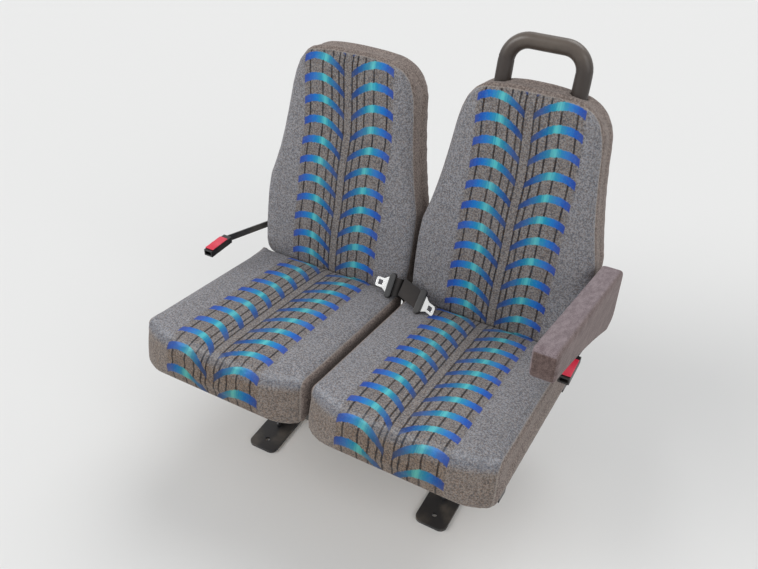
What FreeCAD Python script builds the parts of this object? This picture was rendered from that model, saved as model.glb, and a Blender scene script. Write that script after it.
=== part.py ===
import FreeCAD, Part
import math
import os

from FreeCAD import Vector

# Double passenger seat of a minibus, in millimetres. The origin is on the floor, in the middle
# of the four floor bolts. +X is the aisle side, +Y is the rear, and the seat faces -Y.

# Crease between cushions and backs, lean of the backs, and rise of the cushions to the front
crease_y = 150.0
crease_z = 395.0
lean_deg = 14.0
pan_deg = 9.5

# Backrest, with heights along the lean from the crease. Its widths follow the widest one.
back_half_wide = 226.0
back_low_in = 4.0
back_waist_in = 2.0
back_hollow_in = 30.0
back_shoulder_in = 47.0
back_round_in = 69.0
back_top_in = 124.0
back_foot_in = 44.0
back_foot_bend = 15.0
back_bottom_s = -15.0
back_low_s = 30.0
back_wide_s = 120.0
back_waist_s = 218.0
back_hollow_s = 350.0
back_shoulder_s = 475.0
back_round_s = 541.0
back_top_s = 582.0
back_top_crown = 7.0
back_thick = 96.0
back_front_crown = 4.0
back_edge_r = 24.0
back_rear_round = 60.0
back_rear_in = 44.0
back_rear_drop = 16.0
back_face_round = 50.0
back_face_knee = 8.0
back_gap = 6.0

# Seat cushion, in the tilted pan: ahead of the crease and up from it
cushion_gap = 9.0
cushion_depth = 519.0
cushion_front_flat = 90.0
cushion_bow_deg = 38.0
cushion_corner_r = 22.0
cushion_thick = 104.0
cushion_crown = 6.0
cushion_front_drop = 112.0
cushion_front_round = 34.0
cushion_edge_rise = 3.0
cushion_knee_in = 10.0
cushion_knee_drop = 7.0
cushion_face_drop = 31.0
cushion_hem_in = 32.0
cushion_hem_rise = 18.0
cushion_lip_depth = 62.0
cushion_rear_behind = 2.0
cushion_rear_drop = 12.0
cushion_side_r = 14.0

# Rear panel of the backrest
panel_thick = 5.0
panel_margin = 14.0

# Steel seat frame
board_thick = 12.0
board_inset = 12.0
rail_size = 38.0
rail_wall = 2.5
rail_end_inset = 14.0
rail_cap_thick = 3.0
front_rail_gap = 50.0
upright_size = 28.0
upright_half_spacing = 120.0
upright_t = 73.0
upright_top_s = 210.0

# Pedestals
pedestal_half_spacing = 255.0
post_depth = 76.0
foot_length = 400.0
foot_width = 84.0
foot_thick = 8.0
foot_corner_r = 18.0
foot_hole_r = 6.5
foot_hole_end = 35.0
gusset_thick = 6.0
gusset_top_reach = 95.0
gusset_foot_reach = 80.0
gusset_tip = 12.0
brace_r = 12.5
brace_z = 150.0

# Grab handle on the aisle backrest
handle_r = 18.5
handle_half_width = 89.5
handle_rise = 103.5
handle_corner_r = 50.0
handle_t = 45.0
handle_depth = 50.0
handle_screw_rise = 17.0
handle_screw_r = 5.5
handle_screw_recess = 6.0
handle_screw_head = 3.0

# Armrest, in the side view from the crease: y to the rear, z up
armrest_width = 48.0
armrest_gap = 6.5
armrest_rear_y = 88.0
armrest_rear_top_z = 210.0
armrest_front_y = -434.0
armrest_front_top_z = 370.0
armrest_front_low_z = 298.0
armrest_bend_y = 30.0
armrest_bottom_z = 68.0
armrest_hollow = 14.0
armrest_corner = 14.0
pivot_y = 52.0
pivot_z = 140.0
pivot_r = 6.0
hub_r = 17.0
hub_length = 30.0
hub_floor = 3.0
pin_end_gap = 2.0
pivot_plate_thick = 3.0
pivot_plate_height = 64.0
pivot_plate_length = 50.0
pivot_plate_front = 12.0

# Lap belts. Each leaves the gap between the seats in its own plane: its way out, then along X.
# Columns: side, rise of the way out over the pan in degrees, reach out of the crease, shift
# along the width, slope down along X, bend radius, tongue position from the middle.
belts = {
    "window": dict(out=-1, rise=31, reach=48.1, shift=12, slope=0.0, bend=8, tongue=20),
    "aisle": dict(out=1, rise=45, reach=64.2, shift=4, slope=0.34, bend=10, tongue=60),
}
web_x = 2.5
web_width = 48.0
web_thick = 1.4
tongue_body_length = 66.0
tongue_body_width = 17.0
tongue_body_thick = 13.0
blade_thick = 2.4
blade_reach = 34.0
blade_neck = 13.0
blade_tip_width = 26.0
blade_tip_r = 6.0
blade_flare_width = 44.0
blade_window = 12.0
blade_window_end = 7.0
reel_back = 150.0
reel_r = 24.0
reel_length = 56.0
reel_front = 0.35
bracket_thick = 4.0
bracket_width = 40.0
bracket_foot = 6.0

# Buckles beside the cushions
buckle_gap = 12.0
buckle_rear_y = -112.0
buckle_low_z = 77.0
buckle_tilt_deg = 2.0
buckle_length = 84.0
buckle_height = 18.0
buckle_thick = 26.0
buckle_mouth = 16.0
buckle_mouth_wall = 4.0
button_length = 62.0
button_front = 6.0
button_side = 5.0
button_proud = 2.0
strap_foot_s = 45.0
strap_foot_t = 70.0
stalk_width = 18.0
stalk_thick = 4.0
bolt_r = 5.0
bolt_head_r = 11.0
bolt_head = 7.0

# Clearances
soft_gap = 0.3
pin_clearance = 0.05

sides = {"window": -1, "aisle": 1}
lean = math.radians(lean_deg)
pan = math.radians(pan_deg)
buckle_tilt = math.radians(buckle_tilt_deg)
seat_pitch = 2 * back_half_wide + back_gap
cushion_width = seat_pitch - cushion_gap
back_crest_s = back_top_s + back_top_crown
half_block = (seat_pitch + cushion_width) / 2
rail_half_length = half_block - rail_end_inset
rail_top = -cushion_thick - board_thick
rail_bottom = rail_top - rail_size
rail_middle = rail_top - rail_size / 2
front_rail_ahead = cushion_depth - cushion_lip_depth - front_rail_gap - rail_size / 2
upright_foot_s = (rail_top + upright_t * math.sin(lean - pan)) / math.cos(lean - pan)
rear_rail_ahead = -upright_foot_s * math.sin(lean - pan) - upright_t * math.cos(lean - pan)
armrest_x = seat_pitch / 2 + back_half_wide + armrest_gap
buckle_x = half_block + buckle_gap
strap_x = buckle_x + (buckle_thick - stalk_thick) / 2


def save(name, *solids):
    """Write one node; several solids that don't touch may share it."""
    shape = solids[0] if len(solids) == 1 else Part.makeCompound(list(solids))
    shape.exportStep("parts/" + name + ".step")


def wire(place, start, *steps):
    """Closed wire from a start point. A step is (end,) for a line or (via, end) for an arc."""
    edges = []
    here = start
    for step in steps + ((start,),):
        if step[-1] == here:
            continue
        if len(step) == 1:
            edges.append(Part.LineSegment(place(*here), place(*step[0])).toShape())
        else:
            edges.append(Part.Arc(place(*here), place(*step[0]), place(*step[1])).toShape())
        here = step[-1]
    return Part.Wire(edges)


def prism(outline, along):
    """Solid from a closed wire, extruded by a vector."""
    return Part.Face(outline).extrude(along)


def polar(centre, radius, degrees):
    """Point of a circle, for the middle of a rounded corner."""
    a = math.radians(degrees)
    return (centre[0] + radius * math.cos(a), centre[1] + radius * math.sin(a))


def on_pan(x, ahead, up):
    """Point of the tilted pan: ahead of the crease and up from it."""
    y = crease_y - ahead * math.cos(pan) + up * math.sin(pan)
    z = crease_z + ahead * math.sin(pan) + up * math.cos(pan)
    return Vector(x, y, z)


def pan_block(x0, x1, ahead0, ahead1, up0, up1):
    """Box in the directions of the pan."""
    outline = wire(
        lambda ahead, up: on_pan(x0, ahead, up),
        (ahead0, up0),
        ((ahead1, up0),),
        ((ahead1, up1),),
        ((ahead0, up1),),
    )
    return prism(outline, Vector(x1 - x0, 0, 0))


def on_back(x, s, t):
    """Point of a backrest: s up along the lean, t behind the front face."""
    y = crease_y + s * math.sin(lean) + t * math.cos(lean)
    z = crease_z + s * math.cos(lean) - t * math.sin(lean)
    return Vector(x, y, z)


def back_vector(x, s, t):
    return on_back(x, s, t) - on_back(0, 0, 0)


def from_pan(point):
    """How far a point lies ahead of the crease, and up from the pan."""
    y = point.y - crease_y
    z = point.z - crease_z
    return (z * math.sin(pan) - y * math.cos(pan), z * math.cos(pan) + y * math.sin(pan))


def cushion(x):
    """Foam cushion: the plan outline cut by its side outline, with a lip over the front rail."""
    half = cushion_width / 2
    r = cushion_corner_r
    bow = math.radians(cushion_bow_deg)
    rear = -cushion_rear_behind
    flat = cushion_front_flat
    reach = half - r + r * math.sin(bow) - flat
    bow_r = reach / math.sin(bow)
    corner = cushion_depth - bow_r * (1 - math.cos(bow)) - r * math.cos(bow)
    edge = []
    for side in (1, -1):
        middle = (side * (half - r), corner)
        swing = 90 * (1 - side)
        tip = polar(middle, r, swing + side * (90 - cushion_bow_deg))
        bend = polar(middle, r, swing + side * (90 - cushion_bow_deg) / 2)
        bowed = polar((side * flat, cushion_depth - bow_r), bow_r, 90 - side * cushion_bow_deg / 2)
        edge.append((bend, tip, bowed))
    plan = wire(
        lambda u, ahead: on_pan(x + u, ahead, -cushion_front_drop),
        (-half, rear),
        ((half, rear),),
        ((half, corner),),
        (edge[0][0], edge[0][1]),
        (edge[0][2], (flat, cushion_depth)),
        ((-flat, cushion_depth),),
        (edge[1][2], edge[1][1]),
        (edge[1][0], (-half, corner)),
    )
    body = prism(plan, on_pan(0, 0, cushion_front_drop + 2 * cushion_crown) - on_pan(0, 0, 0))
    lip = cushion_depth - cushion_lip_depth
    under = -cushion_front_drop
    rise = cushion_edge_rise
    drop = cushion_rear_drop
    hem = cushion_hem_rise
    profile = wire(
        lambda ahead, up: on_pan(x - half, ahead, up),
        (rear, -cushion_thick),
        ((rear, -drop),),
        ((rear + drop / 3, -drop / 6), (rear + 4 * drop / 3, drop / 6)),
        ((0.5 * cushion_depth, cushion_crown), (cushion_depth - cushion_front_round, rise)),
        ((cushion_depth - cushion_knee_in, -cushion_knee_drop), (cushion_depth, -cushion_face_drop)),
        ((cushion_depth - hem / 2, under + hem),),
        ((cushion_depth - 0.53 * cushion_hem_in, under + hem / 4), (cushion_depth - cushion_hem_in, under)),
        ((lip, under),),
        ((lip, -cushion_thick),),
    )
    body = body.common(prism(profile, Vector(cushion_width, 0, 0)))

    def on_rim(point):
        ahead, up = from_pan(point)
        return ahead > cushion_rear_drop and up > -2 * cushion_front_round and abs(point.x - x) > flat - 1

    rim = [edge for edge in body.Edges if all(map(on_rim, edge.discretize(7)))]
    return body.makeFillet(cushion_side_r, rim)


def board(x):
    """Plywood board that the cushion is stapled to."""
    half = cushion_width / 2 - board_inset
    front = cushion_depth - cushion_lip_depth - soft_gap
    rear = board_inset - cushion_rear_behind
    return pan_block(x - half, x + half, rear, front, rail_top, rail_top + board_thick)


def back_outline(x, t, inset):
    """Front outline of a backrest, wide below and narrower to its top."""

    def side(inward, s):
        return (back_half_wide - inward - inset, s)

    def mirror(p):
        return (-p[0], p[1])

    low = back_bottom_s + inset
    top = back_top_s - inset
    foot = side(back_foot_in, low)
    foot_via = side(back_foot_bend, low + back_foot_bend)
    low_side = side(back_low_in, back_low_s)
    wide = side(0, back_wide_s)
    waist = side(back_waist_in, back_waist_s)
    hollow = side(back_hollow_in, back_hollow_s)
    shoulder = side(back_shoulder_in, back_shoulder_s)
    round_via = side(back_round_in, back_round_s - inset / 2)
    corner = side(back_top_in, top)
    return wire(
        lambda u, s: on_back(x + u, s, t),
        mirror(foot),
        (foot,),
        (foot_via, low_side),
        (wide, waist),
        (hollow, shoulder),
        (round_via, corner),
        ((0, top + back_top_crown), mirror(corner)),
        (mirror(round_via), mirror(shoulder)),
        (mirror(hollow), mirror(waist)),
        (mirror(wide), mirror(low_side)),
        (mirror(foot_via), mirror(foot)),
    )


def backrest(x):
    """Foam backrest: the front outline cut by its side outline, with slots for the uprights."""
    deep = back_vector(0, 0, back_thick + 2 * back_front_crown)
    body = prism(back_outline(x, -2 * back_front_crown, 0), deep)
    r = back_edge_r
    top = back_crest_s + 1
    knee = back_face_knee
    profile = wire(
        lambda t, s: on_back(x - back_half_wide, s, t),
        (r, back_bottom_s),
        ((back_thick, back_bottom_s),),
        ((back_thick, top - back_rear_round),),
        ((back_thick - 0.75 * back_rear_drop, top - back_rear_drop), (back_thick - back_rear_in, top)),
        ((r + knee, top),),
        ((knee, top - 2 * knee), (0, top - back_face_round)),
        ((-back_front_crown, top / 2), (0, back_bottom_s + r)),
        ((0.3 * r, back_bottom_s + 0.3 * r), (r, back_bottom_s)),
    )
    body = body.common(prism(profile, Vector(2 * back_half_wide, 0, 0)))
    for side in (-1, 1):
        body = body.cut(upright_block(x + side * upright_half_spacing, soft_gap))
    return body


def upright_block(x, grow):
    """Square bar along the lean, where an upright stands, grown by a clearance."""
    half = upright_size / 2 + grow
    bottom = upright_foot_s - upright_size
    corner = wire(
        lambda u, t: on_back(x + u, bottom, upright_t + t),
        (-half, -half),
        ((half, -half),),
        ((half, half),),
        ((-half, half),),
    )
    return prism(corner, back_vector(0, upright_top_s + grow - bottom, 0))


def upright(x):
    """Square tube, cut to stand on the rear rail and closed at its top end."""
    tube = upright_block(x, 0).cut(upright_block(x, -rail_wall))
    r = back_crest_s
    return tube.common(pan_block(x - r, x + r, -r, r, rail_top, rail_top + 2 * r))


def back_panel(x):
    """Moulded panel that closes the rear of a backrest."""
    return prism(back_outline(x, back_thick, panel_margin), back_vector(0, 0, panel_thick))


def rail_x(ahead):
    """Square tube across the seat."""
    h = rail_size / 2
    w = rail_wall
    half = rail_half_length
    outer = pan_block(-half, half, ahead - h, ahead + h, rail_bottom, rail_top)
    return outer.cut(pan_block(-half, half, ahead - h + w, ahead + h - w, rail_bottom + w, rail_top - w))


def rail_caps(ahead):
    """Two plastic end caps of a rail."""
    caps = []
    h = rail_size / 2
    for side in (-1, 1):
        x0, x1 = sorted((side * rail_half_length, side * (rail_half_length + rail_cap_thick)))
        caps.append(pan_block(x0, x1, ahead - h, ahead + h, rail_bottom, rail_top))
    return caps


def cross_rail(x):
    """Square tube from the front rail to the rear rail."""
    h = rail_size / 2
    w = rail_wall
    rear = rear_rail_ahead + h
    front = front_rail_ahead - h
    outer = pan_block(x - h, x + h, rear, front, rail_bottom, rail_top)
    return outer.cut(pan_block(x - h + w, x + h - w, rear, front, rail_bottom + w, rail_top - w))


def under_rails(y):
    """Height of the rails' underside at y."""
    return crease_z + (rail_bottom - (y - crease_y) * math.sin(pan)) / math.cos(pan)


def post(x):
    """Rectangular tube from the foot plate to the cross rail."""
    bars = []
    for w in (0, rail_wall):
        half = rail_size / 2 - w
        depth = post_depth / 2 - w
        side = wire(
            lambda y, z: Vector(x - half, y, z),
            (-depth, foot_thick),
            ((depth, foot_thick),),
            ((depth, under_rails(depth)),),
            ((-depth, under_rails(-depth)),),
        )
        bars.append(prism(side, Vector(2 * half, 0, 0)))
    return bars[0].cut(bars[1])


def foot_plate(x):
    """Floor plate with rounded corners and two bolt holes."""
    half = foot_length / 2
    w = foot_width / 2
    r = foot_corner_r
    outline = wire(
        lambda u, v: Vector(x + u, v, 0),
        (-w, -half + r),
        (polar((-w + r, -half + r), r, 225), (-w + r, -half)),
        ((w - r, -half),),
        (polar((w - r, -half + r), r, 315), (w, -half + r)),
        ((w, half - r),),
        (polar((w - r, half - r), r, 45), (w - r, half)),
        ((-w + r, half),),
        (polar((-w + r, half - r), r, 135), (-w, half - r)),
    )
    plate = prism(outline, Vector(0, 0, foot_thick))
    for side in (-1, 1):
        at = Vector(x, side * (half - foot_hole_end), -1)
        plate = plate.cut(Part.makeCylinder(foot_hole_r, foot_thick + 2, at))
    return plate


def gussets(x):
    """Four triangular webs: two under the cross rail and two on the foot plate."""
    webs = []
    tip = gusset_tip
    for side in (-1, 1):
        y = side * post_depth / 2
        far = y + side * gusset_top_reach
        near = y + side * tip
        webs.append(
            (
                (y, under_rails(y)),
                (far, under_rails(far)),
                (far, under_rails(far) - tip),
                (near, under_rails(near) - gusset_top_reach),
                (y, under_rails(near) - gusset_top_reach),
            )
        )
        far = y + side * gusset_foot_reach
        webs.append(
            (
                (y, foot_thick),
                (far, foot_thick),
                (far, foot_thick + tip),
                (near, foot_thick + gusset_foot_reach),
                (y, foot_thick + gusset_foot_reach),
            )
        )
    solids = []
    for corners in webs:
        steps = [(p,) for p in corners[1:]]
        outline = wire(lambda y, z: Vector(x - gusset_thick / 2, y, z), corners[0], *steps)
        solids.append(prism(outline, Vector(gusset_thick, 0, 0)))
    return solids


def brace():
    """Round tube between the two posts."""
    x = pedestal_half_spacing - rail_size / 2
    start = Vector(-x, 0, brace_z)
    outer = Part.makeCylinder(brace_r, 2 * x, start, Vector(1, 0, 0))
    return outer.cut(Part.makeCylinder(brace_r - rail_wall, 2 * x, start, Vector(1, 0, 0)))


def grab_handle(x):
    """Moulded loop with two legs that stand in the top of the backrest."""
    top = back_crest_s + handle_rise - handle_r
    root = back_crest_s - handle_depth
    w = handle_half_width
    r = handle_corner_r

    def p(u, s):
        return on_back(x + u, s, handle_t)

    edges = [
        Part.LineSegment(p(-w, root), p(-w, top - r)).toShape(),
        Part.Arc(p(-w, top - r), p(*polar((r - w, top - r), r, 135)), p(r - w, top)).toShape(),
        Part.LineSegment(p(r - w, top), p(w - r, top)).toShape(),
        Part.Arc(p(w - r, top), p(*polar((w - r, top - r), r, 45)), p(w, top - r)).toShape(),
        Part.LineSegment(p(w, top - r), p(w, root)).toShape(),
    ]
    ring = Part.Wire([Part.makeCircle(handle_r, p(-w, root), back_vector(0, 1, 0))])
    handle = Part.Wire(edges).makePipeShell([ring], True, False)
    for side in (-1, 1):
        handle = handle.cut(screw_bar(x + side * w, 0, handle_screw_r + soft_gap, handle_screw_recess))
    return handle


def screw_bar(x, start, radius, length):
    """Round bar into the front of a handle leg, at its screw."""
    at = on_back(x, back_crest_s + handle_screw_rise, handle_t - handle_r + start)
    return Part.makeCylinder(radius, length, at, back_vector(0, 0, 1))


def handle_screws(x):
    """Two screw heads at the bottom of their recesses."""
    start = handle_screw_recess - handle_screw_head
    return [
        screw_bar(x + side * handle_half_width, start, handle_screw_r, handle_screw_head) for side in (-1, 1)
    ]


def handle_pockets(x):
    """Bars where the legs of the handle go into the foam."""
    bars = []
    root = back_crest_s - handle_depth - soft_gap
    for side in (-1, 1):
        at = on_back(x + side * handle_half_width, root, handle_t)
        bars.append(Part.makeCylinder(handle_r + soft_gap, 2 * handle_depth, at, back_vector(0, 1, 0)))
    return bars


def armrest_pad():
    """Upholstered armrest, deep at its pivot and slimmer at its front end."""
    c = armrest_corner
    rear = armrest_rear_y
    front = armrest_front_y
    rise = (armrest_front_top_z - armrest_rear_top_z) / (rear - front)
    mid_y = (front + armrest_bend_y) / 2
    mid_z = (armrest_front_low_z + armrest_bottom_z) / 2 + armrest_hollow
    outline = wire(
        lambda y, z: Vector(armrest_x, crease_y + y, crease_z + z),
        (rear - c, armrest_rear_top_z),
        ((front + c, armrest_front_top_z - rise * c),),
        ((front + c / 4, armrest_front_top_z - c / 2), (front, armrest_front_top_z - 1.5 * c)),
        ((front, armrest_front_low_z + c),),
        ((front + c / 4, armrest_front_low_z + c / 4), (front + c, armrest_front_low_z)),
        ((mid_y, mid_z), (armrest_bend_y, armrest_bottom_z)),
        ((rear - 2 * c, armrest_bottom_z),),
        ((rear - c / 2, armrest_bottom_z + c / 2), (rear, armrest_bottom_z + 2 * c)),
        ((rear, armrest_rear_top_z - c),),
        ((rear - c / 4, armrest_rear_top_z - c / 4), (rear - c, armrest_rear_top_z)),
    )
    pad = prism(outline, Vector(armrest_width, 0, 0))
    return pad.cut(pivot_bar(armrest_x, hub_r, hub_length))


def pivot_bar(x, radius, length):
    """Round bar about the armrest's pivot axis."""
    at = Vector(x, crease_y + pivot_y, crease_z + pivot_z)
    return Part.makeCylinder(radius, length, at, Vector(1, 0, 0))


def armrest_hub():
    """Plastic bush in the armrest that turns on the pivot pin."""
    bore = pivot_bar(armrest_x, pivot_r + pin_clearance, hub_length - hub_floor)
    return pivot_bar(armrest_x, hub_r, hub_length).cut(bore)


def armrest_pivot():
    """Steel plate on the side of the backrest, with the pivot pin on it."""
    x = seat_pitch / 2 + back_half_wide + soft_gap
    corner = Vector(
        x,
        crease_y + pivot_y - pivot_plate_front,
        crease_z + pivot_z - pivot_plate_height / 2,
    )
    plate = Part.makeBox(pivot_plate_thick, pivot_plate_length, pivot_plate_height, corner)
    pin_end = armrest_x + hub_length - hub_floor - pin_end_gap
    return plate.fuse(pivot_bar(x, pivot_r, pin_end - x)).removeSplitter()


def belt_place(belt, slope=0.0):
    """Maps x outwards, n along the way out and w along the belt's width to a point."""
    a = math.radians(belt["rise"])

    def place(x, n, w):
        w = w + belt["shift"] - slope * (x - web_x)
        ahead = n * math.cos(a) - w * math.sin(a)
        return on_pan(belt["out"] * x, ahead, n * math.sin(a) + w * math.cos(a))

    return place


def belt_vector(belt, x, n, w):
    place = belt_place(belt)
    return place(x, n, w) - place(0, 0, 0)


def webbing(belt):
    """Flat band from the reel, out through the gap and round to the tongue."""
    place = belt_place(belt, belt["slope"])
    r = belt["bend"]
    out = belt["reach"]
    t = web_thick
    end = belt["tongue"]
    centre = (web_x + r, out - r)
    low = -web_width / 2
    band = wire(
        lambda x, n: place(x, n, low),
        (web_x, -reel_back),
        ((web_x, out - r),),
        (polar(centre, r, 135), (web_x + r, out)),
        ((end, out),),
        ((end, out - t),),
        ((web_x + r, out - t),),
        (polar(centre, r - t, 135), (web_x + t, out - r)),
        ((web_x + t, -reel_back),),
    )
    return prism(band, belt_vector(belt, 0, 0, web_width))


def tongue_body(belt):
    """Plastic grip on the end of the webbing."""
    place = belt_place(belt, belt["slope"])
    half = tongue_body_length / 2
    x0 = belt["tongue"]
    x1 = x0 + tongue_body_width
    n0 = belt["reach"] - web_thick / 2 - tongue_body_thick / 2
    r = tongue_body_width / 2
    outline = wire(
        lambda x, w: place(x, n0, w),
        (x0, -half + r),
        ((x0 + r, -half), (x1, -half + r)),
        ((x1, half - r),),
        ((x0 + r, half), (x0, half - r)),
    )
    return prism(outline, belt_vector(belt, 0, tongue_body_thick, 0))


def tongue_blade(belt):
    """Chromed blade with a flared root and a square latch window."""
    place = belt_place(belt, belt["slope"])
    x0 = belt["tongue"] + tongue_body_width
    x1 = x0 + blade_reach
    neck = x0 + blade_neck
    flare = blade_flare_width / 2
    tip = blade_tip_width / 2
    r = blade_tip_r
    n0 = belt["reach"] - web_thick / 2 - blade_thick / 2
    outline = wire(
        lambda x, w: place(x, n0, w),
        (x0, -flare),
        ((neck, -tip),),
        ((x1 - r, -tip),),
        (polar((x1 - r, -tip + r), r, 315), (x1, -tip + r)),
        ((x1, tip - r),),
        (polar((x1 - r, tip - r), r, 45), (x1 - r, tip)),
        ((neck, tip),),
        ((x0, flare),),
    )
    blade = prism(outline, belt_vector(belt, 0, blade_thick, 0))
    h = blade_window / 2
    wx = x1 - blade_window_end - blade_window
    hole = wire(
        lambda x, w: place(x, n0, w),
        (wx, -h),
        ((wx + blade_window, -h),),
        ((wx + blade_window, h),),
        ((wx, h),),
    )
    return blade.cut(prism(hole, belt_vector(belt, 0, blade_thick, 0)))


def reel(belt):
    """Retractor case that the webbing winds into."""
    place = belt_place(belt)
    half = reel_length / 2
    x0 = reel_front
    x1 = x0 + 2 * reel_r
    n1 = -reel_back
    n0 = n1 - 2 * reel_r
    outline = wire(
        lambda x, n: place(x, n, -half),
        (x0, n1),
        ((x1 - reel_r, n1),),
        (polar((x1 - reel_r, n1 - reel_r), reel_r, 0), (x1 - reel_r, n0)),
        ((x0, n0),),
    )
    return prism(outline, belt_vector(belt, 0, 0, reel_length))


def reel_bracket(belt):
    """Bent steel plate from the rear rail to the lower side of a retractor."""
    place = belt_place(belt)
    a = math.radians(belt["rise"])
    low = -reel_length / 2
    end = -reel_back - 2 * reel_r
    rail_rear = rear_rail_ahead - rail_size / 2
    # where the ledge under the case meets the rear face of the rail
    start = (rail_rear + (low + belt["shift"]) * math.sin(a)) / math.cos(a)
    ledge = wire(
        lambda n, w: place(web_x, n, w),
        (start + bracket_foot, low),
        ((end, low),),
        ((end, low - bracket_thick),),
        ((start + bracket_foot, low - bracket_thick),),
    )
    plate = prism(ledge, Vector(belt["out"] * bracket_width, 0, 0))
    x0, x1 = sorted((belt["out"] * web_x, belt["out"] * (web_x + bracket_width)))
    top = start * math.sin(a) + (low + belt["shift"] - bracket_thick) * math.cos(a)
    leg = pan_block(x0, x1, rail_rear - bracket_thick, rail_rear, rail_bottom + bracket_foot, top)
    r = seat_pitch
    behind = pan_block(x0, x1, rail_rear - r, rail_rear, -r, r)
    return plate.common(behind).fuse(leg).removeSplitter()


def buckle_bar(side, x0, x1, a0, a1, h0, h1):
    """Box in the buckle's own directions: out from the cushion, ahead along its tilt, and up."""
    sign = sides[side]

    def place(a, h):
        y = crease_y + buckle_rear_y - a * math.cos(buckle_tilt) + h * math.sin(buckle_tilt)
        z = crease_z + buckle_low_z + a * math.sin(buckle_tilt) + h * math.cos(buckle_tilt)
        return Vector(sign * (buckle_x + x0), y, z)

    outline = wire(place, (a0, h0), ((a1, h0),), ((a1, h1),), ((a0, h1),))
    return prism(outline, Vector(sign * (x1 - x0), 0, 0))


def buckle(side):
    """Buckle case beside the cushion, with an open mouth at its front end."""
    wall = buckle_mouth_wall
    start = buckle_length - buckle_mouth
    case = buckle_bar(side, 0, buckle_thick, 0, buckle_length, 0, buckle_height)
    mouth = buckle_bar(side, wall, buckle_thick - wall, start, buckle_length, wall, buckle_height - wall)
    return case.cut(mouth)


def buckle_button(side):
    """Red release button on the upper face."""
    x1 = buckle_thick - button_side
    a1 = buckle_length - button_front
    top = buckle_height + button_proud
    return buckle_bar(side, button_side, x1, a1 - button_length, a1, buckle_height, top)


def buckle_strap(side):
    """Steel strap from the foot of the backrest's side forward to the buckle."""
    sign = sides[side]
    start = on_back(sign * strap_x, strap_foot_s, strap_foot_t)
    end = Vector(
        sign * strap_x,
        crease_y + buckle_rear_y + buckle_height / 2 * math.sin(buckle_tilt),
        crease_z + buckle_low_z + buckle_height / 2 * math.cos(buckle_tilt),
    )
    along = (end - start).normalize()
    across = Vector(0, -along.z, along.y)
    length = (end - start).Length + stalk_width
    h = stalk_width / 2
    outline = wire(
        lambda a, c: start + along * a + across * c,
        (0, -h),
        ((length, -h),),
        ((length, h),),
        ((0, h),),
        ((-h, 0), (0, -h)),
    )
    strap = prism(outline, Vector(sign * stalk_thick, 0, 0))
    r = 2 * buckle_length
    strap = strap.cut(buckle_bar(side, -r, r, 0, r, -r, r))
    out = Vector(sign, 0, 0)
    return strap.cut(Part.makeCylinder(bolt_r + soft_gap, stalk_thick + 2, start - out, out))


def buckle_bolt(side):
    """Shouldered bolt through the strap into the side of the backrest's frame."""
    sign = sides[side]
    out = Vector(sign, 0, 0)
    x_head = strap_x + stalk_thick
    x_side = seat_pitch / 2 + back_half_wide - bolt_head_r

    def bar(x, radius, length):
        at = on_back(sign * x, strap_foot_s, strap_foot_t)
        return Part.makeCylinder(radius, length, at, out)

    foam = prism(back_outline(sign * seat_pitch / 2, 0, 0), back_vector(0, 0, back_thick))
    bolt = bar(x_side, bolt_head_r, strap_x - x_side).cut(foam)
    bolt = bolt.fuse(bar(strap_x, bolt_r, stalk_thick))
    return bolt.fuse(bar(x_head, bolt_head_r, bolt_head)).removeSplitter()


os.makedirs("parts", exist_ok=True)

for name, sign in sides.items():
    x = sign * seat_pitch / 2
    save("cushion_" + name, cushion(x))
    save("cushion_board_" + name, board(x))
    rest = backrest(x)
    if name == "aisle":
        for bar in handle_pockets(x):
            rest = rest.cut(bar)
    save("backrest_" + name, rest)
    save("back_panel_" + name, back_panel(x))
    for place, turn in (("left", -1), ("right", 1)):
        save("upright_" + name + "_" + place, upright(x + turn * upright_half_spacing))
    belt = belts[name]
    save("webbing_" + name, webbing(belt))
    save("tongue_grip_" + name, tongue_body(belt))
    save("tongue_blade_" + name, tongue_blade(belt))
    save("belt_reel_" + name, reel(belt))
    save("reel_bracket_" + name, reel_bracket(belt))
    save("buckle_" + name, buckle(name))
    save("buckle_button_" + name, buckle_button(name))
    save("buckle_strap_" + name, buckle_strap(name))
    save("buckle_bolt_" + name, buckle_bolt(name))
    px = sign * pedestal_half_spacing
    save("cross_rail_" + name, cross_rail(px))
    save("pedestal_post_" + name, post(px))
    save("foot_plate_" + name, foot_plate(px))
    save("pedestal_gussets_" + name, *gussets(px))

save("cross_rail_middle", cross_rail(0))
save("front_rail", rail_x(front_rail_ahead))
save("rear_rail", rail_x(rear_rail_ahead))
save("rail_end_caps", *(rail_caps(front_rail_ahead) + rail_caps(rear_rail_ahead)))
save("pedestal_brace", brace())
save("grab_handle", grab_handle(seat_pitch / 2))
save("handle_screws", *handle_screws(seat_pitch / 2))
save("armrest_pad", armrest_pad())
save("armrest_hub", armrest_hub())
save("armrest_pivot", armrest_pivot())
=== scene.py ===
"""A double passenger seat of a minibus: its cloth, plastics, belts and paint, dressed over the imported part."""
import math

import bmesh
import bpy
import numpy as np
from mathutils import Matrix, Vector


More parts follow.
